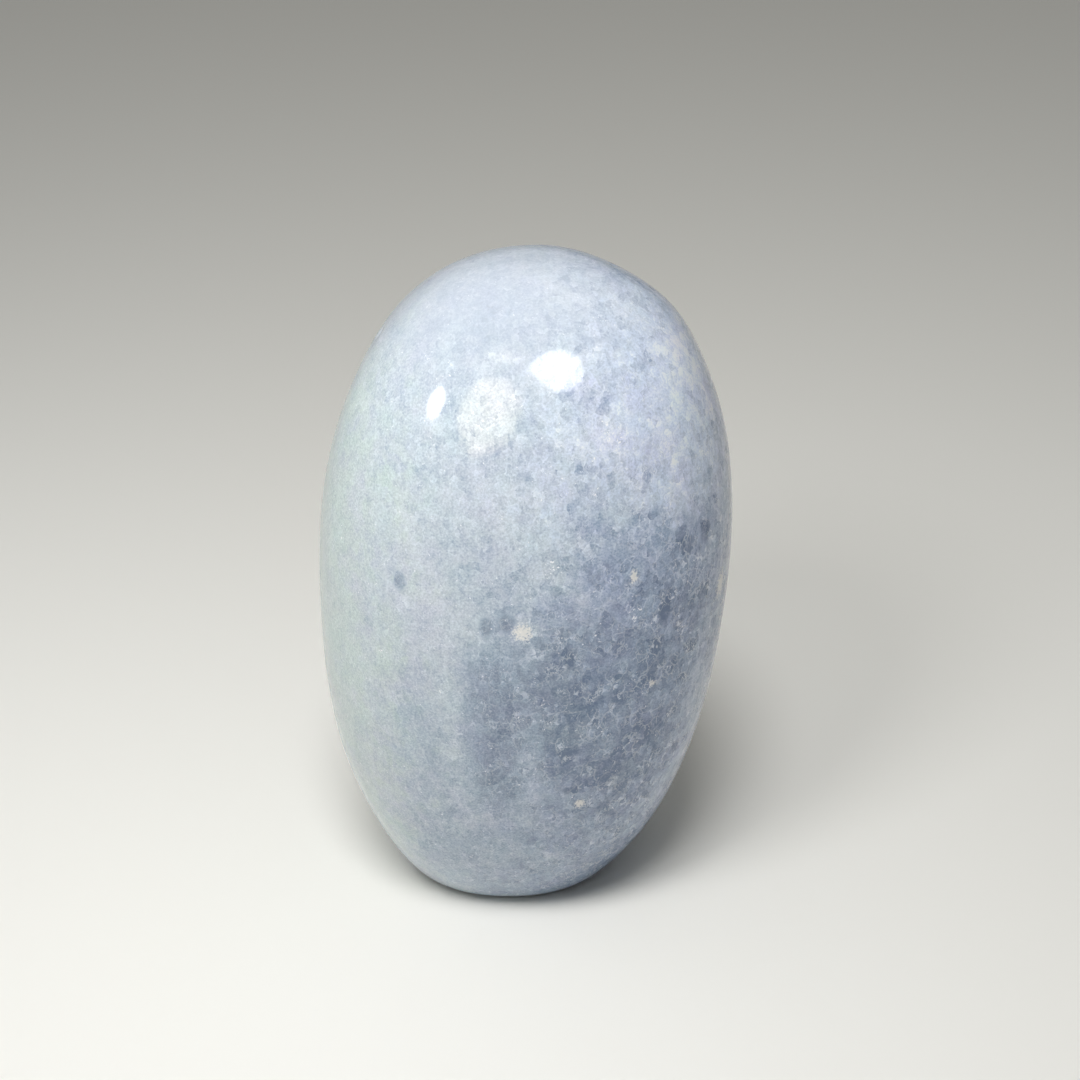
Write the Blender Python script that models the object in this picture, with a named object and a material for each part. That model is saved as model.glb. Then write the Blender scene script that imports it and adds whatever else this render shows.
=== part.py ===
"""A hand-polished freeform of blue calcite: one egg-like stone, cut flat underneath so that it stands.

The stone starts as a sphere. Each of its points is pushed out to a rounded form that is fuller than an ellipsoid, a
little wider at the top than at the foot, and leaning slightly to one side. A few broad flats are then ground into it,
as a polishing wheel leaves them. Last, its foot is sawn level and the sawn edge is ground round. Lengths are in
millimetres until the mesh is made.
"""
import math

import bmesh
import bpy
from mathutils import Vector

MM = 0.001

# The rounded form, measured from its middle
HALF_WIDTH = 37.5
HALF_DEPTH = 32.0
HALF_HEIGHT = 67.3
PLAN_FULLNESS = 2.2  # 2 is an ellipse seen from above, more is squarer
SIDE_FULLNESS = 2.3  # the same, seen from the side
TAPER = 0.065  # how much wider than the middle the top is, as a share
LEAN = 0.047  # sideways shift to the right for each millimetre of height

# The foot: a level cut below the middle, and how far in from the sawn edge the rounding runs
FOOT_BELOW_MIDDLE = 59.4
FOOT_EDGE_ROUND = 1.8
FOOT_EDGE_STEPS = 3

# The broad flats: the way each one faces (azimuth from +X, elevation), how far it lies from the middle, and how
# softly it runs into the form
FLATS = {
    "lower left": (195.0, -24.0, 47.8, 5.0),
    "upper left": (167.0, 21.0, 46.1, 6.0),
    "upper right": (43.0, 50.0, 61.4, 6.0),
    "right shoulder": (13.0, 21.0, 50.0, 6.0),
    "lower right": (-24.0, -35.0, 51.9, 5.0),
}

# The mesh: sections round the stone and rings from pole to pole
SECTIONS = 56
RINGS = 52
SHARPEST_SMOOTH_EDGE = math.radians(30)

STONE_COLOUR = "B4BFCC"
STONE_ROUGHNESS = 0.12
STONE_IOR = 1.58


def clear_scene():
    for thing in list(bpy.data.objects):
        bpy.data.objects.remove(thing, do_unlink=True)


def linear_colour(code):
    """An sRGB colour code as linear red, green, blue and alpha."""
    channels = [int(code[start:start + 2], 16) / 255 for start in (0, 2, 4)]
    return [c / 12.92 if c <= 0.04045 else ((c + 0.055) / 1.055) ** 2.4 for c in channels] + [1.0]


def facing(azimuth, elevation):
    """The unit vector that points this way, for angles in degrees."""
    azimuth = math.radians(azimuth)
    elevation = math.radians(elevation)
    level = math.cos(elevation)
    return Vector((level * math.cos(azimuth), level * math.sin(azimuth), math.sin(elevation)))


def rounded_form(on_sphere):
    """Where this point of a sphere of radius 1 lies on the rounded form, measured from its middle."""
    x, y, z = on_sphere
    out = math.hypot(x, y)
    plan = (abs(x) ** PLAN_FULLNESS + abs(y) ** PLAN_FULLNESS) ** (1 / PLAN_FULLNESS)
    side = (out ** SIDE_FULLNESS + abs(z) ** SIDE_FULLNESS) ** (1 / SIDE_FULLNESS)
    squarer = out / plan if plan > 0 else 1.0
    height = HALF_HEIGHT * z / side
    spread = squarer / side * (1 + TAPER * height / HALF_HEIGHT)
    return Vector((HALF_WIDTH * x * spread + LEAN * height, HALF_DEPTH * y * spread, height))


def grind(point, normal, distance, blend):
    """Brings a point that stands proud of a plane down to it, and eases the points just short of it."""
    proud = point.dot(normal) - distance
    if proud <= -blend:
        return point
    if proud >= blend:
        return point - normal * proud
    return point - normal * (proud + blend) ** 2 / (4 * blend)


def stone_point(on_sphere):
    """Where this point of the sphere ends up on the ground stone, with the foot's level at zero."""
    point = rounded_form(on_sphere)
    for azimuth, elevation, distance, blend in FLATS.values():
        point = grind(point, facing(azimuth, elevation), distance, blend)
    return point + Vector((0, 0, FOOT_BELOW_MIDDLE))


def saw_foot(mesh):
    """Cuts the stone off level at its foot, closes the cut with one flat face and rounds the edge."""
    cut = bmesh.ops.bisect_plane(
        mesh,
        geom=mesh.verts[:] + mesh.edges[:] + mesh.faces[:],
        plane_co=(0, 0, 0),
        plane_no=(0, 0, -1),
        clear_outer=True,
    )
    edge = [part for part in cut["geom_cut"] if isinstance(part, bmesh.types.BMEdge)]
    bmesh.ops.edgeloop_fill(mesh, edges=edge)
    bmesh.ops.bevel(
        mesh,
        geom=edge,
        offset=FOOT_EDGE_ROUND * MM,
        offset_type="OFFSET",
        segments=FOOT_EDGE_STEPS,
        profile=0.5,
        affect="EDGES",
    )


def centre_over_origin(mesh):
    """Moves the stone sideways until the middle of its outline, seen from above, is at the origin."""
    for axis in (0, 1):
        places = [vert.co[axis] for vert in mesh.verts]
        offset = Vector((0, 0, 0))
        offset[axis] = -(min(places) + max(places)) / 2
        bmesh.ops.translate(mesh, verts=mesh.verts, vec=offset)


def polished_calcite():
    material = bpy.data.materials.new("polished_blue_calcite")
    material.use_nodes = True
    shader = material.node_tree.nodes["Principled BSDF"]
    shader.inputs["Base Color"].default_value = linear_colour(STONE_COLOUR)
    shader.inputs["Metallic"].default_value = 0.0
    shader.inputs["Roughness"].default_value = STONE_ROUGHNESS
    shader.inputs["IOR"].default_value = STONE_IOR
    return material


def calcite_freeform():
    mesh = bmesh.new()
    bmesh.ops.create_uvsphere(mesh, u_segments=SECTIONS, v_segments=RINGS, radius=1.0)
    for vert in mesh.verts:
        vert.co = stone_point(vert.co) * MM
    saw_foot(mesh)
    centre_over_origin(mesh)
    bmesh.ops.recalc_face_normals(mesh, faces=mesh.faces)

    data = bpy.data.meshes.new("calcite_freeform")
    mesh.to_mesh(data)
    mesh.free()
    data.shade_smooth()
    data.set_sharp_from_angle(angle=SHARPEST_SMOOTH_EDGE)
    data.materials.append(polished_calcite())
    stone = bpy.data.objects.new("calcite_freeform", data)
    bpy.context.scene.collection.objects.link(stone)
    return stone


clear_scene()
calcite_freeform()
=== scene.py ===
# %% [markdown]
# # A polished freeform of blue calcite
#
# The object is one stone, about as tall as a hand: pale blue calcite, ground by hand into a tall egg,
# polished to a gloss and sawn flat underneath so that it stands. This lesson rebuilds it in Blender around a
# imported model, which gives the stone's real size and place.
#
# A stone like this has almost no drawn shape, so nearly everything that the eye likes about it is in the
# material: sugary grains a millimetre or two across, milky and clear zones, white specks where a crystal has
# split, painted into the colour as glints, and a polish that mirrors the lamps. The cells below make the
# shape first and then add the looks one layer at a time.

# %% The imported model
import math
import random

import bmesh
import bpy
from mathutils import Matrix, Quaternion, Vector, noise


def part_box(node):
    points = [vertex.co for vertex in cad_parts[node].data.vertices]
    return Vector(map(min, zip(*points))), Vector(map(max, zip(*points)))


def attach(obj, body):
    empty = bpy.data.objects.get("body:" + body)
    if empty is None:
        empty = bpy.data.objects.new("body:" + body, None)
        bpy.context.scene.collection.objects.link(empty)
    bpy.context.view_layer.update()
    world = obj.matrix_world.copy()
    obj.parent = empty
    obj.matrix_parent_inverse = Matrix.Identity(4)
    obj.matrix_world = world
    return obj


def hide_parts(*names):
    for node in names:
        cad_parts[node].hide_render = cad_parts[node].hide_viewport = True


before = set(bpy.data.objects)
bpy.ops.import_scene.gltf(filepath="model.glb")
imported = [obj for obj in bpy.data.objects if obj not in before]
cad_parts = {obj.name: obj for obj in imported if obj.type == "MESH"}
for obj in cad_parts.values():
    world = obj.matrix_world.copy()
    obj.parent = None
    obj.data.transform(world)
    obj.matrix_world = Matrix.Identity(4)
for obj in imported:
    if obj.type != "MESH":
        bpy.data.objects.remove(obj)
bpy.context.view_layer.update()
MM = 0.001
STONE_NODE = "calcite_freeform"
STONE_BODY = "root"

lowest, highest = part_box(STONE_NODE)
print("stone in the packed model:", [round((high - low) / MM, 1) for low, high in zip(lowest, highest)], "mm")

# %% [markdown]
# ## The camera
#
# The photograph was taken from close by with a short telephoto view, looking down at about 30 degrees. The
# stone then shows its front and a little of its top. The nearness matters as much as the angle: it makes the
# foot look smaller than it is. So the camera stands 32 cm away and doesn't zoom in from afar.

# %% The camera
CAMERA_DISTANCE = 320 * MM
CAMERA_ELEVATION = math.radians(30)
CAMERA_LENS_MM = 58
CAMERA_AIM = Vector((3.0, 0.0, 71.5)) * MM


def place_camera():
    camera = bpy.data.objects.new("camera", bpy.data.cameras.new("camera"))
    bpy.context.scene.collection.objects.link(camera)
    away = Vector((0, -math.cos(CAMERA_ELEVATION), math.sin(CAMERA_ELEVATION)))
    camera.location = CAMERA_AIM + away * CAMERA_DISTANCE
    camera.rotation_euler = (-away).to_track_quat("-Z", "Y").to_euler()
    camera.data.lens = CAMERA_LENS_MM
    camera.data.clip_start = 1 * MM
    bpy.context.scene.camera = camera
    return camera


camera = place_camera()
print("camera at", [round(c / MM) for c in camera.location], "mm, looking down 30 degrees")

# %% [markdown]
# ## The ground form
#
# A cutter starts a freeform by grinding a block round, and leaves it fuller than an ellipsoid. A
# superellipsoid has exactly that look: its exponent is 2 for an ellipsoid and grows as the form gets
# squarer. This stone is also a little wider at the top than at the foot, and leans to the right.
#
# Sculpting would give the form as well, but a formula keeps every size a number that can be read and
# changed.

# %% The rounded form, in millimetres from its middle
HALF_WIDTH = 37.5
HALF_DEPTH = 32.0
HALF_HEIGHT = 67.3
PLAN_FULLNESS = 2.2
SIDE_FULLNESS = 2.3
TAPER = 0.065
LEAN = 0.047


def rounded_form(on_sphere):
    """Where this point of a sphere of radius 1 lies on the rounded form, measured from its middle."""
    x, y, z = on_sphere
    out = math.hypot(x, y)
    plan = (abs(x) ** PLAN_FULLNESS + abs(y) ** PLAN_FULLNESS) ** (1 / PLAN_FULLNESS)
    side = (out ** SIDE_FULLNESS + abs(z) ** SIDE_FULLNESS) ** (1 / SIDE_FULLNESS)
    squarer = out / plan if plan > 0 else 1.0
    height = HALF_HEIGHT * z / side
    spread = squarer / side * (1 + TAPER * height / HALF_HEIGHT)
    return Vector((HALF_WIDTH * x * spread + LEAN * height, HALF_DEPTH * y * spread, height))


print("top of the rounded form:", [round(c, 1) for c in rounded_form((0, 0, 1))], "mm")

# %% [markdown]
# ## The broad flats and the foot
#
# A polishing wheel presses flats into a round stone. On this one they are so broad and soft that the eye
# only feels them: the outline runs nearly straight at the lower left and over the right shoulder. Each flat
# is a plane that brings down whatever stands proud of it, with a blend that hides where it begins. The sawn
# foot is one more such plane, with a much tighter blend, so the same function makes both.

# %% Grinding flats
FLATS = {
    "lower left": (195.0, -24.0, 47.8, 5.0),
    "upper left": (167.0, 21.0, 46.1, 6.0),
    "upper right": (43.0, 50.0, 61.4, 6.0),
    "right shoulder": (13.0, 21.0, 50.0, 6.0),
    "lower right": (-24.0, -35.0, 51.9, 5.0),
}
FOOT_BELOW_MIDDLE = 59.4
FOOT_EDGE_BLEND = 1.9
DOWN = Vector((0, 0, -1))


def facing(azimuth, elevation):
    """The unit vector that points this way, for angles in degrees."""
    azimuth = math.radians(azimuth)
    elevation = math.radians(elevation)
    level = math.cos(elevation)
    return Vector((level * math.cos(azimuth), level * math.sin(azimuth), math.sin(elevation)))


def grind(point, normal, distance, blend):
    """Brings a point that stands proud of a plane down to it, and eases the points just short of it."""
    proud = point.dot(normal) - distance
    if proud <= -blend:
        return point
    if proud >= blend:
        return point - normal * proud
    return point - normal * (proud + blend) ** 2 / (4 * blend)


flat_planes = [
    (facing(azimuth, elevation), distance, blend)
    for azimuth, elevation, distance, blend in FLATS.values()
]
print(len(flat_planes), "broad flats")

# %% [markdown]
# ## What the hand leaves
#
# A stone held against a wheel by hand is never quite even. Its surface rises and falls by a few hundredths
# of a millimetre over a thumb's width, which nobody sees directly but which bends the mirrored lamps. Smooth
# noise does this. It is faded out towards the foot, because the sawn face is ground on a flat lap.

# %% Waviness of a hand-held polish
WAVE_LENGTH = 15.0
WAVE_HEIGHT = 0.09
WAVE_FADES_BELOW = 8.0


def waviness(point):
    """How far, in millimetres, the hand-ground surface stands off the planned one here."""
    above_foot = point.z + FOOT_BELOW_MIDDLE
    fade = min(max(above_foot / WAVE_FADES_BELOW, 0.0), 1.0)
    return WAVE_HEIGHT * fade * noise.noise(point / WAVE_LENGTH)


def stone_point(on_sphere):
    """Where this point of the sphere ends up on the finished stone, with the foot's level at zero."""
    point = rounded_form(on_sphere)
    for normal, distance, blend in flat_planes:
        point = grind(point, normal, distance, blend)
    point = point + point.normalized() * waviness(point)
    point = grind(point, DOWN, FOOT_BELOW_MIDDLE, FOOT_EDGE_BLEND)
    return point + Vector((0, 0, FOOT_BELOW_MIDDLE))


print("the foot's level:", round(stone_point((0, 0, -1)).z, 3), "mm")

# %% [markdown]
# ## An even sphere
#
# A sphere made of rings crowds its faces at the poles, and a mirror polish would show a pinch there. A cube
# whose faces are cut into small squares and then blown up to a sphere has no poles. Taking the tangent of
# each coordinate first keeps the squares in the middle of a face the same size as those at its edges.

# %% A sphere from a cube
SQUARES_PER_EDGE = 119


def even_sphere():
    mesh = bmesh.new()
    bmesh.ops.create_cube(mesh, size=2.0)
    bmesh.ops.subdivide_edges(mesh, edges=mesh.edges[:], cuts=SQUARES_PER_EDGE - 1, use_grid_fill=True)
    for vert in mesh.verts:
        vert.co = Vector([math.tan(c * math.pi / 4) for c in vert.co]).normalized()
    return mesh


# %% [markdown]
# ## Nicks
#
# Calcite is soft and splits along flat cleavage planes, so even a polished piece has a few tiny nicks. The
# one that shows is on the outline at the upper left. A handful of others are scattered where handling would
# leave them. Each is a shallow bowl pushed into the mesh, deep enough to catch an edge of light.

# %% Nicks in the surface
SEEN_NICK = (Vector((-24.9, -0.4, 113.0)), 1.5, 0.32)
SCATTERED_NICKS = 16
NICK_RADIUS_RANGE = (0.7, 1.2)
NICK_DEPTH_SHARE = 0.14
NICKS_START_ABOVE = 4.0
NICK_SEED = 11


def choose_nicks(mesh):
    """Place, radius and depth in millimetres of the nick that shows, and of others at seeded places."""
    chance = random.Random(NICK_SEED)
    above_foot = [vert for vert in mesh.verts if vert.co.z > NICKS_START_ABOVE]
    nicks = [SEEN_NICK]
    for _ in range(SCATTERED_NICKS):
        radius = chance.uniform(*NICK_RADIUS_RANGE)
        nicks.append((chance.choice(above_foot).co.copy(), radius, radius * NICK_DEPTH_SHARE))
    return nicks


def press_nicks(mesh, nicks):
    mesh.normal_update()
    for vert in mesh.verts:
        for place, radius, depth in nicks:
            near = (vert.co - place).length / radius
            if near < 1:
                vert.co -= vert.normal * depth * (1 - near * near) ** 2


# %% [markdown]
# ## The stone
#
# Now the pieces come together: blow up the sphere, press the nicks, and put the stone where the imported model
# has it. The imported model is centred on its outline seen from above, so this mesh is centred in the same way
# before it is scaled from millimetres to metres.

# %% Build the stone
def centre_seen_from_above(mesh):
    for axis in (0, 1):
        places = [vert.co[axis] for vert in mesh.verts]
        shift = (min(places) + max(places)) / 2
        for vert in mesh.verts:
            vert.co[axis] -= shift


def build_stone():
    mesh = even_sphere()
    for vert in mesh.verts:
        vert.co = stone_point(vert.co)
    centre_seen_from_above(mesh)
    press_nicks(mesh, choose_nicks(mesh))
    bmesh.ops.scale(mesh, verts=mesh.verts, vec=(MM, MM, MM))
    bmesh.ops.recalc_face_normals(mesh, faces=mesh.faces)
    data = bpy.data.meshes.new("polished_stone")
    mesh.to_mesh(data)
    mesh.free()
    data.shade_smooth()
    stone = bpy.data.objects.new("polished_stone", data)
    bpy.context.scene.collection.objects.link(stone)
    return stone


stone = build_stone()
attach(stone, STONE_BODY)
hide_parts(STONE_NODE)
print("stone mesh:", len(stone.data.polygons) * 2, "triangles")
print("size of the stone:", [round(side / MM, 1) for side in stone.dimensions], "mm")

# %% [markdown]
# ## Two helpers for materials
#
# Colours are written as the hex codes that a colour picker shows. Blender's shaders work on linear light, so
# one function converts them. A second one adds a node: it sets the node's properties, links a socket where
# it is handed another node's output, and otherwise writes the value into it.

# %% Colour and node helpers
def linear(code):
    """An sRGB hex colour as linear red, green, blue and alpha."""
    channels = [int(code[start:start + 2], 16) / 255 for start in (0, 2, 4)]
    return [c / 12.92 if c <= 0.04045 else ((c + 0.055) / 1.055) ** 2.4 for c in channels] + [1.0]


def add(tree, kind, sockets, **settings):
    """Adds a node. Sockets maps a socket's name or number to a value, or to another node's output to link."""
    node = tree.nodes.new("ShaderNode" + kind)
    for name, value in settings.items():
        setattr(node, name, value)
    for name, value in sockets.items():
        if isinstance(value, bpy.types.NodeSocket):
            tree.links.new(value, node.inputs[name])
        else:
            node.inputs[name].default_value = value
    return node


calcite = bpy.data.materials.new("polished_blue_calcite")
calcite.use_nodes = True
tree = calcite.node_tree
shader = tree.nodes["Principled BSDF"]
stone.data.materials.append(calcite)

# %% [markdown]
# ## Millimetres inside the stone
#
# Every pattern here is solid: it fills the stone and the polished surface cuts through it, as in the real
# thing. That needs coordinates in space and no unwrapping. Object coordinates are in metres, so they are
# multiplied up to millimetres, and then a pattern's scale is one over its real size.
#
# Real grains aren't neat cells. A second set of coordinates is stirred a little, which makes their borders
# ragged, and squeezed upright, which makes the grains taller than wide.

# %% Coordinates in millimetres
STIR_SIZE = 0.9
STIR_REACH = 0.9
GRAIN_STRETCH = (1.0, 1.0, 0.72)

place = add(tree, "TexCoord", {}).outputs["Object"]
in_mm = add(tree, "VectorMath", {0: place, 1: (1000, 1000, 1000)}, operation="MULTIPLY").outputs[0]
across = add(tree, "SeparateXYZ", {"Vector": in_mm}).outputs["X"]
stir = {"Vector": in_mm, "Scale": 1 / STIR_SIZE, "Detail": 1.0, "Roughness": 0.7}
stir = add(tree, "TexNoise", stir).outputs["Color"]
stir = add(tree, "VectorMath", {0: stir, 1: (0.5, 0.5, 0.5)}, operation="SUBTRACT").outputs[0]
ragged = {0: stir, 1: (STIR_REACH,) * 3, 2: in_mm}
ragged = add(tree, "VectorMath", ragged, operation="MULTIPLY_ADD").outputs[0]
stirred = add(tree, "VectorMath", {0: ragged, 1: GRAIN_STRETCH}, operation="MULTIPLY").outputs[0]
print("patterns are measured in millimetres, stirred by up to", STIR_REACH / 2, "mm")

# %% [markdown]
# ## How clear the stone is
#
# Blue calcite is a mass of clear crystals. Where they are full of tiny bubbles the stone looks milky and
# pale, and where they are clear the light sinks in and it looks darker and bluer. One number can carry all
# of that: how clear the stone is at a point, from 0 for the palest milk to 1 for the deepest blue. Every
# layer below adds to this number or takes from it, and one colour ramp at the end turns it into a colour. So
# a dark grain is always a bluer grain too, as it is in the real stone.
#
# Noise alone would put the zones anywhere. So each one is a soft egg inside the stone, placed in
# millimetres. This stone is milky on the left, palest at the upper right, and clear low down and on the
# right. The two palest eggs at the upper right shoulder are partly painted light: they are paler where the
# lamps give too little light. The egg at the right edge of the foot is painted shade: it is darker where
# that edge turns down, away from the light. The eggs on the sides that the photograph doesn't show are a
# guess in the same manner.

# %% Zones
MILKY = 0.3
EGG_FULL, EGG_GONE = 0.3, 1.6

# Middle and radii of each egg, and how much clearer it makes the stone
ZONES = {
    "top": ((-8.0, -8.0, 121.0), (22.0, 18.0, 14.0), 0.08),
    "pale, centre": ((5.0, -29.0, 100.0), (15.0, 14.0, 11.0), -0.17),
    # Partly milk and partly painted light: paler where the lamps light the right shoulder too little
    "palest with painted light, upper right": ((28.0, -17.0, 107.0), (15.0, 19.0, 17.0), -0.28),
    "blue patch, right": ((12.5, -28.0, 96.0), (6.5, 9.0, 7.0), 0.17),
    "milk, right of the middle": ((6.0, -31.0, 79.5), (6.0, 8.0, 5.0), -0.13),
    "half clear, top": ((-8.0, -12.0, 121.0), (7.0, 8.0, 6.0), 0.16),
    "half clear, under the top": ((-5.5, -26.5, 103.0), (8.0, 8.0, 6.0), 0.13),
    # Partly milk and partly painted light on the top right edge, as above
    "milk with painted light, top right": ((27.0, -9.0, 115.0), (9.0, 12.0, 11.0), -0.18),
    "clear, right of the middle": ((24.0, -25.0, 65.0), (12.0, 12.0, 9.0), 0.13),
    "clear, above the foot": ((-5.0, -30.0, 38.0), (5.0, 8.0, 6.0), 0.16),
    "along the edge of the foot": ((6.0, -20.0, 6.0), (22.0, 12.0, 7.0), 0.20),
    "half clear, right of the middle": ((19.0, -27.0, 80.0), (15.0, 14.0, 11.0), 0.27),
    "half clear, middle": ((-3.0, -31.0, 79.0), (12.0, 12.0, 13.0), 0.06),
    "clear, right": ((31.0, -20.0, 66.0), (9.0, 14.0, 20.0), 0.26),
    "clear, low": ((13.0, -31.0, 51.0), (16.0, 14.0, 22.0), 0.54),
    "clear strip": ((-5.0, -31.5, 53.0), (5.0, 10.0, 19.0), 0.36),
    "second clear strip": ((6.0, -31.3, 58.0), (5.0, 9.0, 18.0), 0.19),
    "pale strip": ((1.0, -31.0, 42.0), (3.0, 8.0, 11.0), -0.12),
    "low, right": ((22.0, -23.0, 36.0), (10.0, 12.0, 15.0), 0.26),
    "lower left": ((-16.0, -28.0, 42.0), (8.0, 12.0, 24.0), 0.15),
    "front of the foot": ((5.0, -25.0, 17.0), (24.0, 16.0, 15.0), 0.28),
    # Painted shade: clearer and so darker where the foot's edge turns down, away from the light
    "painted shade, edge of the foot, right": ((17.0, -19.0, 11.0), (9.0, 12.0, 10.0), 0.36),
    "back, upper left": ((-14.0, 29.0, 88.0), (16.0, 14.0, 22.0), 0.40),
    "back, lower right": ((19.0, 24.0, 46.0), (15.0, 16.0, 26.0), 0.50),
    "back, pale": ((4.0, 30.0, 70.0), (14.0, 12.0, 26.0), -0.15),
}


def egg_distance(middle, radii, where=in_mm):
    """How far a point is from the middle of an egg, where 1 is the egg's own shell."""
    scale = [1 / radius for radius in radii]
    shift = [-centre / radius for centre, radius in zip(middle, radii)]
    scaled = add(tree, "VectorMath", {0: where, 1: scale, 2: shift}, operation="MULTIPLY_ADD").outputs[0]
    return add(tree, "VectorMath", {0: scaled}, operation="LENGTH").outputs["Value"]


def soft_egg(middle, radii, strength):
    """A value that is this strong in the heart of an egg and fades smoothly to nothing outside it."""
    reach = egg_distance(middle, radii)
    fade = {"Value": reach, "From Min": EGG_GONE, "From Max": EGG_FULL, "To Max": strength}
    return add(tree, "MapRange", fade, interpolation_type="SMOOTHSTEP").outputs[0]


zones = MILKY
for middle, radii, step in ZONES.values():
    zones = add(tree, "Math", {0: soft_egg(middle, radii, step), 1: zones}, operation="ADD").outputs[0]
print(len(ZONES), "zones")

# %% [markdown]
# ## The grains
#
# A Voronoi texture cuts space into cells and gives each one a random colour, whose three channels serve here
# as three draws of a lot. The large grains draw how clear a crystal is, whether it has no bubbles at all,
# and how its blue leans.
#
# The small grains are the facets that give the sugary look. A split crystal isn't evenly bright. It shades
# from one side to the other, each in a direction of its own. The cell's random colour also serves as that
# direction: the slope below is how far a point lies along it from the middle.

# %% Grains
GRAIN_SIZE = 1.9
FACET_SIZE = 1.2

draw = add(tree, "TexVoronoi", {"Vector": stirred, "Scale": 1 / GRAIN_SIZE}, feature="F1").outputs["Color"]
draw = add(tree, "SeparateColor", {"Color": draw}).outputs
facets = add(tree, "TexVoronoi", {"Vector": stirred, "Scale": 1 / FACET_SIZE}, feature="F1").outputs
facet_draw = add(tree, "SeparateColor", {"Color": facets["Color"]}).outputs["Red"]
off_middle = add(tree, "VectorMath", {0: stirred, 1: facets["Position"]}, operation="SUBTRACT").outputs[0]
own_way = add(tree, "VectorMath", {0: facets["Color"], 1: (0.5, 0.5, 0.5)}, operation="SUBTRACT").outputs[0]
slope = add(tree, "VectorMath", {0: off_middle, 1: own_way}, operation="DOT_PRODUCT").outputs["Value"]
print("grains of", GRAIN_SIZE, "mm and facets of", FACET_SIZE, "mm")

# %% [markdown]
# ## Layers of texture
#
# Six layers make the sugary look, from broad to fine: drifts the size of a fingertip, clouds, the grains,
# the facets, the slope inside each facet, and a stipple of a few tenths of a millimetre. Each swings round
# zero. Here and there a crystal has no bubbles at all: the grains with the highest draw are dark and blue,
# like tiny pools.
#
# On the left the stone is so full of bubbles that its grains hardly show, so there the layers are made
# weaker. The stipple is fine enough to show everywhere, so it is added afterwards.

# %% Layers of texture
DRIFT_SIZE, DRIFT_SWING = 7.0, 0.60
CLOUD_SIZE, CLOUD_SWING = 2.6, 0.42
GRAIN_SWING = 0.18
FACET_SWING = 0.20
SLOPE_SWING = -0.32
STIPPLE_SIZE, STIPPLE_SWING = 0.36, 0.84
POOL_DRAW_STARTS, POOL_DRAW_FULL, POOL_DEPTH = 0.88, 0.97, 0.16
LEFT_SIDE, SHARE_AT_LEFT = -32.0, 0.28
RIGHT_SIDE, SHARE_AT_RIGHT = 30.0, 1.4

drift = {"Vector": in_mm, "Scale": 1 / DRIFT_SIZE, "Detail": 3.0, "Roughness": 0.6}
drift = add(tree, "TexNoise", drift).outputs
patch_tint = add(tree, "SeparateColor", {"Color": drift["Color"]}).outputs["Green"]
drift = drift["Fac"]
clouds = {"Vector": stirred, "Scale": 1 / CLOUD_SIZE, "Detail": 3.0, "Roughness": 0.7}
clouds = add(tree, "TexNoise", clouds).outputs["Fac"]
stipple = {"Vector": in_mm, "Scale": 1 / STIPPLE_SIZE, "Detail": 1.0, "Roughness": 0.6}
stipple = add(tree, "TexNoise", stipple).outputs["Fac"]

layers = -0.5 * (DRIFT_SWING + CLOUD_SWING + GRAIN_SWING + FACET_SWING)
for source, share in (
    (drift, DRIFT_SWING),
    (clouds, CLOUD_SWING),
    (draw["Red"], GRAIN_SWING),
    (facet_draw, FACET_SWING),
    (slope, SLOPE_SWING),
):
    layers = add(tree, "Math", {0: source, 1: share, 2: layers}, operation="MULTIPLY_ADD").outputs[0]
pools = add(tree, "MapRange", {
    "Value": draw["Green"], "From Min": POOL_DRAW_STARTS, "From Max": POOL_DRAW_FULL, "To Max": POOL_DEPTH,
}).outputs[0]
layers = add(tree, "Math", {0: layers, 1: pools}, operation="ADD").outputs[0]

rightward = add(tree, "MapRange", {
    "Value": across,
    "From Min": LEFT_SIDE, "From Max": RIGHT_SIDE, "To Min": SHARE_AT_LEFT, "To Max": SHARE_AT_RIGHT,
}).outputs[0]
clearness = add(tree, "Math", {0: layers, 1: rightward, 2: zones}, operation="MULTIPLY_ADD").outputs[0]
clearness = {0: stipple, 1: STIPPLE_SWING, 2: clearness}
clearness = add(tree, "Math", clearness, operation="MULTIPLY_ADD").outputs[0]
clearness = add(tree, "Math", {0: clearness, 1: STIPPLE_SWING / 2}, operation="SUBTRACT").outputs[0]
print("six layers, at", SHARE_AT_LEFT, "of their strength on the left and", SHARE_AT_RIGHT, "on the right")

# %% [markdown]
# ## Blue pools
#
# The largest clear crystals in the photograph are landmarks, so they are placed one by one as small eggs.
# Only the distance to the nearest of them counts, and the stipple frays it.

# %% Blue pools
BLUE_POOLS = {
    "far right": ((31.0, -18.9, 84.7), (1.2, 1.7, 2.4)),
    "right": ((27.7, -22.6, 83.5), (1.5, 1.7, 2.0)),
    "lower, in the right zone": ((24.3, -25.9, 72.6), (1.1, 1.4, 2.0)),
    "beside the middle": ((8.0, -31.7, 66.0), (0.8, 1.3, 1.5)),
    "lower right": ((20.7, -26.7, 49.2), (0.9, 1.2, 1.4)),
    "near the foot": ((8.4, -29.3, 36.6), (1.4, 1.5, 0.8)),
    "left of the cream fleck": ((-2.6, -32.0, 73.8), (1.4, 1.6, 1.5)),
    "further left of it": ((-6.2, -31.8, 73.0), (1.1, 1.6, 1.6)),
    "left": ((-20.6, -27.2, 79.3), (1.0, 1.4, 1.5)),
}
POOL_GONE, POOL_FULL = 1.25, 0.85
POOL_FRAY = 1.2
HAND_POOL_DEPTH = 0.36
FARTHEST = 9.0


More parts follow.
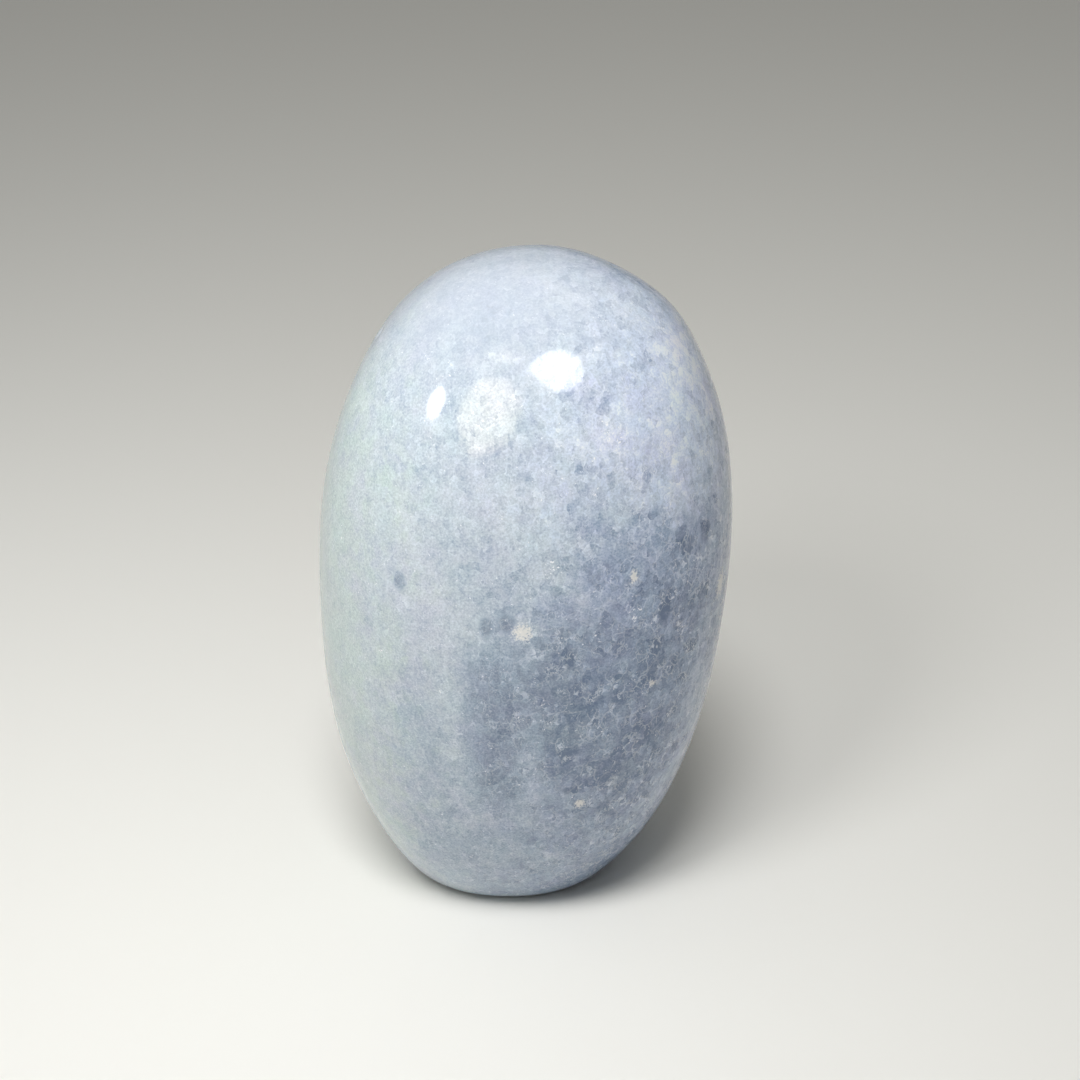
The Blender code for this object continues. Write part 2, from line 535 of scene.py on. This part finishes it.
def nearest_of(spots, fray):
    """The distance to the nearest of these spots, frayed by the stipple, where 1 is the spot's own edge."""
    nearest = FARTHEST
    for middle, radii in spots.values():
        reach = egg_distance(middle, radii, where=ragged)
        nearest = add(tree, "Math", {0: reach, 1: nearest}, operation="MINIMUM").outputs[0]
    frayed = {0: stipple, 1: fray, 2: nearest}
    frayed = add(tree, "Math", frayed, operation="MULTIPLY_ADD").outputs[0]
    return add(tree, "Math", {0: frayed, 1: fray / 2}, operation="SUBTRACT").outputs[0]


hand_pools = add(tree, "MapRange", {
    "Value": nearest_of(BLUE_POOLS, POOL_FRAY),
    "From Min": POOL_GONE, "From Max": POOL_FULL, "To Max": HAND_POOL_DEPTH,
}).outputs[0]
clearness = add(tree, "Math", {0: clearness, 1: hand_pools}, operation="ADD").outputs[0]
print(len(BLUE_POOLS), "blue pools placed by hand")

# %% [markdown]
# ## From clearness to colour
#
# The ramp runs from the palest milk to deep blue. The blue also leans: to sea green on the left of the
# stone, and to lavender on the right. That is a second ramp, driven by the place across the stone. The
# drifts and the grains shift that place to and fro, so the two tints meet in patches. A third ramp shifts
# whole patches a little between green and lavender. A tint is multiplied over the colour, because it is
# light that the crystal takes away.

# %% Colour ramps
CLEARNESS_COLOURS = [
    (-0.3, "F9FBFF"), (0.0, "E0E7F8"), (0.3, "CAD2E1"), (0.6, "A9B6CE"), (0.85, "96A2BA"), (1.2, "6F7F9B"),
]
TINTS = [(-32.0, "FAFFEE"), (-18.0, "FBFCF5"), (0.0, "FAFCF7"), (24.0, "F7FAFF")]
TINT_DRIFT, TINT_BY_GRAIN = 36.0, 8.0
PATCH_TINTS = [(0.3, "FAFFFD"), (0.5, "FDFEFD"), (0.7, "FFFCFF")]

# A Mix node has sockets of several kinds. These are its sockets for mixing colours.
MIX_FACTOR, MIX_A, MIX_B, MIX_RESULT = 0, 6, 7, 2


def colour_ramp(value, stops, middle=0.0):
    """A colour for each value, by stops of value and colour code. Middle is added to every stop's value."""
    first, last = stops[0][0], stops[-1][0]
    factor = add(tree, "MapRange", {"Value": value, "From Min": first + middle, "From Max": last + middle})
    node = add(tree, "ValToRGB", {"Fac": factor.outputs[0]})
    elements = node.color_ramp.elements
    while len(elements) < len(stops):
        elements.new(1.0)
    for element, (stop, code) in zip(elements, stops):
        element.position = (stop - first) / (last - first)
        element.color = linear(code)
    return node.outputs["Color"]


colour = colour_ramp(clearness, CLEARNESS_COLOURS)
leaning = add(tree, "Math", {0: drift, 1: TINT_DRIFT, 2: across}, operation="MULTIPLY_ADD").outputs[0]
leaning = {0: draw["Blue"], 1: TINT_BY_GRAIN, 2: leaning}
leaning = add(tree, "Math", leaning, operation="MULTIPLY_ADD").outputs[0]
for tint in (
    colour_ramp(leaning, TINTS, middle=(TINT_DRIFT + TINT_BY_GRAIN) / 2),
    colour_ramp(patch_tint, PATCH_TINTS),
):
    tinted = {MIX_FACTOR: 1.0, MIX_A: colour, MIX_B: tint}
    colour = add(tree, "Mix", tinted, data_type="RGBA", blend_type="MULTIPLY").outputs[MIX_RESULT]
print(len(CLEARNESS_COLOURS), "colours from milk to blue, tinted across the stone and by patch")

# %% [markdown]
# ## White strokes
#
# Where a crystal has split, the crack throws the light back white. Seen edge-on it is a short thin stroke.
# Three kinds are drawn here: healed borders between grains, the bright side of a sloping facet, and fine
# veins where a smooth noise passes through its middle value. The veins are drawn in some facets only, which
# keeps them short. All strokes come in patches, and they show more on the right.

# %% White strokes
PATCH_SIZE = 2.6
PATCH_STARTS, PATCH_FULL = 0.4, 0.6
BORDER_WIDTH, BORDER_STRENGTH = 0.07, 0.36
SIDE_STARTS, SIDE_FULL, SIDE_STRENGTH = 0.25, 0.4, 0.54
VEIN_SIZE = 1.5
VEIN_STRETCH = (1.0, 1.0, 0.5)
VEIN_WIDTH, VEIN_STRENGTH = 0.022, 0.68
VEINED_DRAW_STARTS, VEINED_DRAW_FULL = 0.4, 0.6
STROKE_WHITE = linear("EEF3FA")

patches = add(tree, "TexNoise", {"Vector": in_mm, "Scale": 1 / PATCH_SIZE, "Detail": 2.0}).outputs["Fac"]
patches = {"Value": patches, "From Min": PATCH_STARTS, "From Max": PATCH_FULL}
patches = add(tree, "MapRange", patches).outputs[0]
borders = add(tree, "TexVoronoi", {"Vector": stirred, "Scale": 1 / GRAIN_SIZE}, feature="DISTANCE_TO_EDGE")
borders = add(tree, "MapRange", {
    "Value": borders.outputs["Distance"],
    "From Min": BORDER_WIDTH, "From Max": 0.0, "To Max": BORDER_STRENGTH,
}).outputs[0]
sides = add(tree, "MapRange", {
    "Value": slope, "From Min": SIDE_STARTS, "From Max": SIDE_FULL, "To Max": SIDE_STRENGTH,
}).outputs[0]
upright = add(tree, "VectorMath", {0: ragged, 1: VEIN_STRETCH}, operation="MULTIPLY").outputs[0]
veins = {"Vector": upright, "Scale": 1 / VEIN_SIZE, "Detail": 2.0, "Roughness": 0.6}
veins = add(tree, "TexNoise", veins).outputs["Fac"]
veins = add(tree, "Math", {0: veins, 1: 0.5}, operation="SUBTRACT").outputs[0]
veins = add(tree, "Math", {0: veins}, operation="ABSOLUTE").outputs[0]
veins = {"Value": veins, "From Min": VEIN_WIDTH, "From Max": 0.0, "To Max": VEIN_STRENGTH}
veins = add(tree, "MapRange", veins).outputs[0]
in_facets = {"Value": facet_draw, "From Min": VEINED_DRAW_STARTS, "From Max": VEINED_DRAW_FULL}
in_facets = add(tree, "MapRange", in_facets).outputs[0]
veins = add(tree, "Math", {0: veins, 1: in_facets}, operation="MULTIPLY").outputs[0]
strokes = add(tree, "Math", {0: sides, 1: veins}, operation="MAXIMUM").outputs[0]
strokes = add(tree, "Math", {0: strokes, 1: borders}, operation="MAXIMUM").outputs[0]
strokes = add(tree, "Math", {0: strokes, 1: patches}, operation="MULTIPLY").outputs[0]
strokes = add(tree, "Math", {0: strokes, 1: rightward}, operation="MULTIPLY").outputs[0]
strokes = {MIX_FACTOR: strokes, MIX_A: colour, MIX_B: STROKE_WHITE}
colour = add(tree, "Mix", strokes, data_type="RGBA").outputs[MIX_RESULT]
print("strokes on grain borders, facet sides and veins, in patches of", PATCH_SIZE, "mm")

# %% [markdown]
# ## Painted glints and the veil
#
# A split that is seen flat mirrors the lamps as a glint. Here the glints are painted into the colour: white
# specks of a few tenths of a millimetre, where a fine noise rises above a start value. The start is lower
# inside the patches, so there are more painted glints there. In a few places the photograph shows whole
# clusters of them, and there it is lower still.
#
# The top of the stone is so milky that a grey veil lies over all of this.

# %% Painted glints and the veil
GLINT_SIZE = 0.5
GLINT_START, GLINT_START_IN_PATCHES = 0.775, 0.705
GLINT_EDGE, GLINT_STRENGTH = 0.05, 0.85
SPARK_GONE, SPARK_FULL, SPARK_HELP = 1.2, 0.4, 0.13
PAINTED_GLINT_CLUSTERS = {
    "right of the middle": ((5.2, -31.2, 84.0), (1.6, 2.0, 2.0)),
    "right": ((19.3, -28.6, 74.0), (1.6, 2.0, 3.0)),
    "far right": ((27.9, -23.1, 67.8), (1.0, 1.6, 1.6)),
    "upper right": ((14.7, -24.6, 105.4), (3.2, 2.6, 2.2)),
    "left": ((-24.7, -25.6, 63.8), (1.2, 1.6, 1.0)),
    "in the cream fleck": ((0.3, -32.1, 72.4), (1.3, 1.6, 1.3)),
    "lower right": ((12.8, -30.8, 70.1), (1.2, 1.6, 1.6)),
}
PAINTED_GLINT_WHITE = linear("FCFDFF")
TOP_VEIL = ((-6.0, -6.0, 123.0), (24.0, 20.0, 13.0))
VEIL_GREY = linear("C3C9D2")
VEIL_STRENGTH = 0.6

glint_start = {"Value": patches, "To Min": GLINT_START, "To Max": GLINT_START_IN_PATCHES}
glint_start = add(tree, "MapRange", glint_start).outputs[0]
sparkle = add(tree, "MapRange", {
    "Value": nearest_of(PAINTED_GLINT_CLUSTERS, fray=0.0),
    "From Min": SPARK_GONE, "From Max": SPARK_FULL, "To Max": SPARK_HELP,
}).outputs[0]
glint_start = add(tree, "Math", {0: glint_start, 1: sparkle}, operation="SUBTRACT").outputs[0]
# Painted glints: white specks mixed into the colour where a split crystal would mirror the lamps
painted_glints = {"Vector": in_mm, "Scale": 1 / GLINT_SIZE, "Detail": 1.0, "Roughness": 0.6}
painted_glints = add(tree, "TexNoise", painted_glints).outputs["Fac"]
painted_glints = add(tree, "Math", {0: painted_glints, 1: glint_start}, operation="SUBTRACT").outputs[0]
painted_glints = {"Value": painted_glints, "From Max": GLINT_EDGE, "To Max": GLINT_STRENGTH}
painted_glints = add(tree, "MapRange", painted_glints).outputs[0]
painted_glints = {MIX_FACTOR: painted_glints, MIX_A: colour, MIX_B: PAINTED_GLINT_WHITE}
colour = add(tree, "Mix", painted_glints, data_type="RGBA").outputs[MIX_RESULT]

veil = {MIX_FACTOR: soft_egg(*TOP_VEIL, VEIL_STRENGTH), MIX_A: colour, MIX_B: VEIL_GREY}
colour = add(tree, "Mix", veil, data_type="RGBA").outputs[MIX_RESULT]
print(len(PAINTED_GLINT_CLUSTERS), "clusters of glints, and a veil over the top")

# %% [markdown]
# ## Cream flecks
#
# A few flecks are cream and not white: another mineral that grew along. They are landmarks too, so they are
# placed one by one in the same way as the pools. They are frayed more, and the grain underneath shows through
# a little.

# %% Cream flecks
CREAM = linear("F3F1EC")
CREAM_FLECKS = {
    "large, in the middle": ((0.1, -32.1, 72.1), (1.55, 2.5, 1.6)),
    "tall, at the right": ((34.9, -14.0, 70.8), (1.2, 1.6, 2.7)),
    "small, right of the middle": ((18.7, -28.5, 80.9), (0.6, 1.2, 1.2)),
    "lower right": ((22.6, -26.4, 57.9), (0.6, 0.9, 0.7)),
    "slanting, near the foot": ((10.2, -28.2, 32.8), (0.9, 1.0, 1.1)),
}
FLECK_GONE, FLECK_FULL = 1.2, 0.6
FLECK_FRAY = 2.4
FLECK_STRENGTH = 0.8

flecks = add(tree, "MapRange", {
    "Value": nearest_of(CREAM_FLECKS, FLECK_FRAY),
    "From Min": FLECK_GONE, "From Max": FLECK_FULL, "To Max": FLECK_STRENGTH,
}).outputs[0]
flecks = {MIX_FACTOR: flecks, MIX_A: colour, MIX_B: CREAM}
colour = add(tree, "Mix", flecks, data_type="RGBA").outputs[MIX_RESULT]
print(len(CREAM_FLECKS), "cream flecks")

# %% [markdown]
# ## The polish
#
# Polished calcite mirrors like glass: its index of refraction is about 1.6, which is the average of the two
# that a calcite crystal has. Light that isn't mirrored sinks in for a few millimetres and comes back out,
# which softens every shadow on the stone. That is subsurface scattering. The hard and soft directions of
# neighbouring grains wear differently, so the polish has a very fine relief, which a bump gives to the edges
# of the highlights.

# %% The polish
CALCITE_IOR = 1.6
POLISH_ROUGHNESS = 0.1
LIGHT_SINKS_IN = 2.5 * MM
SHARE_THAT_SINKS_IN = 0.5
REACH_OF_RED_GREEN_BLUE = (0.8, 0.9, 1.0)
RELIEF_SIZE = 0.9
RELIEF_DEPTH = 0.004 * MM

relief = {"Vector": in_mm, "Scale": 1 / RELIEF_SIZE, "Detail": 2.0, "Roughness": 0.6}
relief = add(tree, "TexNoise", relief).outputs["Fac"]
bump = add(tree, "Bump", {"Strength": 1.0, "Distance": RELIEF_DEPTH, "Height": relief})
shader.inputs["IOR"].default_value = CALCITE_IOR
shader.inputs["Roughness"].default_value = POLISH_ROUGHNESS
shader.inputs["Subsurface Weight"].default_value = SHARE_THAT_SINKS_IN
shader.inputs["Subsurface Scale"].default_value = LIGHT_SINKS_IN
shader.inputs["Subsurface Radius"].default_value = REACH_OF_RED_GREEN_BLUE
tree.links.new(colour, shader.inputs["Base Color"])
tree.links.new(bump.outputs["Normal"], shader.inputs["Normal"])
print("index", CALCITE_IOR, "roughness", POLISH_ROUGHNESS)

# %% [markdown]
# ## The paper
#
# The stone stands on a wide sheet of matt white paper. Matt paper throws light back evenly, so it shows the
# stone's shadows and mirrors nothing. The sheet is part of the stage and no part of the object, and it runs
# far enough back that the camera never sees its edge.

# %% The paper
PAPER_HALF_SIDE = 6.0
PAPER_WHITE = linear("F1F0EB")
PAPER_ROUGHNESS = 0.9
PAPER_SHINE = 0.1


def lay_paper():
    mesh = bmesh.new()
    bmesh.ops.create_grid(mesh, x_segments=1, y_segments=1, size=PAPER_HALF_SIDE)
    data = bpy.data.meshes.new("paper")
    mesh.to_mesh(data)
    mesh.free()
    paper = bpy.data.objects.new("paper", data)
    bpy.context.scene.collection.objects.link(paper)
    matt = bpy.data.materials.new("matt_white_paper")
    matt.use_nodes = True
    surface = matt.node_tree.nodes["Principled BSDF"]
    surface.inputs["Base Color"].default_value = PAPER_WHITE
    surface.inputs["Roughness"].default_value = PAPER_ROUGHNESS
    surface.inputs["Specular IOR Level"].default_value = PAPER_SHINE
    data.materials.append(matt)


lay_paper()
print("paper", 2 * PAPER_HALF_SIDE, "m wide")

# %% [markdown]
# ## The lamps
#
# Three soft lamps light the stone: one close by at the left, which is why the left side is so bright, a
# faint one low on the left, and one high in front. The shadows on the paper tell where they stand. A
# shadow's direction gives the lamp's, and the width of the shadow's soft edge gives how large the lamp looks
# from the stone.
#
# The mirrored spots come from lamps of their own. Studios do the same: a card or a small lamp is placed for
# its mirror image alone. In Blender a lamp can be switched off for soft light or for mirror images, so each
# lamp below has one job and can be set by itself.

# %% The lamps
LIT_POINT = Vector((0, 0, 90)) * MM


def add_lamp(
    name, direction, distance, size, watts, code="FFFFFF", mirrored=False, shape="ELLIPSE", roll=0.0,
):
    """An area lamp that faces the stone. Direction is azimuth and elevation, and lengths are in metres."""
    data = bpy.data.lights.new(name, "AREA")
    data.shape = shape
    data.size, data.size_y = size
    data.energy = watts
    data.color = linear(code)[:3]
    lamp = bpy.data.objects.new(name, data)
    bpy.context.scene.collection.objects.link(lamp)
    towards = facing(*direction)
    lamp.location = LIT_POINT + towards * distance
    turn = Quaternion((0, 0, 1), math.radians(roll))
    lamp.rotation_euler = (towards.to_track_quat("Z", "Y") @ turn).to_euler()
    lamp.visible_glossy = mirrored
    lamp.visible_diffuse = not mirrored
    lamp.visible_camera = False


# Lamps that light the stone
add_lamp("near_left", (-124, 48), 0.23, (0.072, 0.072), 0.26)
add_lamp("low_left", (-172, 12), 0.32, (0.28, 0.14), 0.1, shape="RECTANGLE")
add_lamp("high_front", (-96, 66), 0.64, (0.21, 0.21), 2.35)

# Lamps that the stone mirrors
add_lamp("front_spot", (-76, 46), 0.80, (0.30, 0.31), 1.8, mirrored=True)
add_lamp("left_spot", (-143.5, 26.5), 0.25, (0.044, 0.05), 0.08, mirrored=True, roll=25)
add_lamp("pale_card", (-111, 26), 0.70, (0.36, 0.38), 1.15, "FFEDCC", mirrored=True, roll=-20)
add_lamp("faint_card", (-112, 53), 0.70, (0.16, 0.08), 0.07, "FFF2DE", mirrored=True)

# %% [markdown]
# ## The light of the room
#
# The rest of the light is the room's: strongest from straight above, weaker from the left and almost nothing
# from the right, as the dark shadow at the right of the foot shows. A world's background can be given by
# direction. Here its strength is a steep power of the direction's height, plus a share that grows towards
# the left.

# %% The light of the room
ROOM_FROM_ABOVE = 0.65
ROOM_STEEPNESS = 4.0
ROOM_FROM_LEFT = 0.18
ROOM_COLOUR = linear("FFFFFB")

world = bpy.data.worlds.new("room")
world.use_nodes = True
sky = world.node_tree
direction = add(sky, "TexCoord", {}).outputs["Generated"]
parts = add(sky, "SeparateXYZ", {"Vector": direction})
height = add(sky, "Math", {0: parts.outputs["Z"], 1: 0.0}, operation="MAXIMUM").outputs[0]
above = add(sky, "Math", {0: height, 1: ROOM_STEEPNESS}, operation="POWER").outputs[0]
above = add(sky, "Math", {0: above, 1: ROOM_FROM_ABOVE}, operation="MULTIPLY").outputs[0]
left = add(sky, "Math", {0: parts.outputs["X"], 1: -ROOM_FROM_LEFT}, operation="MULTIPLY").outputs[0]
left = add(sky, "Math", {0: left, 1: 0.0}, operation="MAXIMUM").outputs[0]
strength = add(sky, "Math", {0: above, 1: left}, operation="ADD").outputs[0]
room = sky.nodes["Background"]
room.inputs["Color"].default_value = ROOM_COLOUR
sky.links.new(strength, room.inputs["Strength"])
bpy.context.scene.world = world
print("room light from above", ROOM_FROM_ABOVE, "and from the left", ROOM_FROM_LEFT)

# %% [markdown]
# ## Colour management
#
# Blender's default view softens bright areas as film does. The photograph clips its mirrored lamps to plain
# white, as a phone does, and Standard shows colours in the same way.

# %% Colour management
bpy.context.scene.view_settings.view_transform = "Standard"
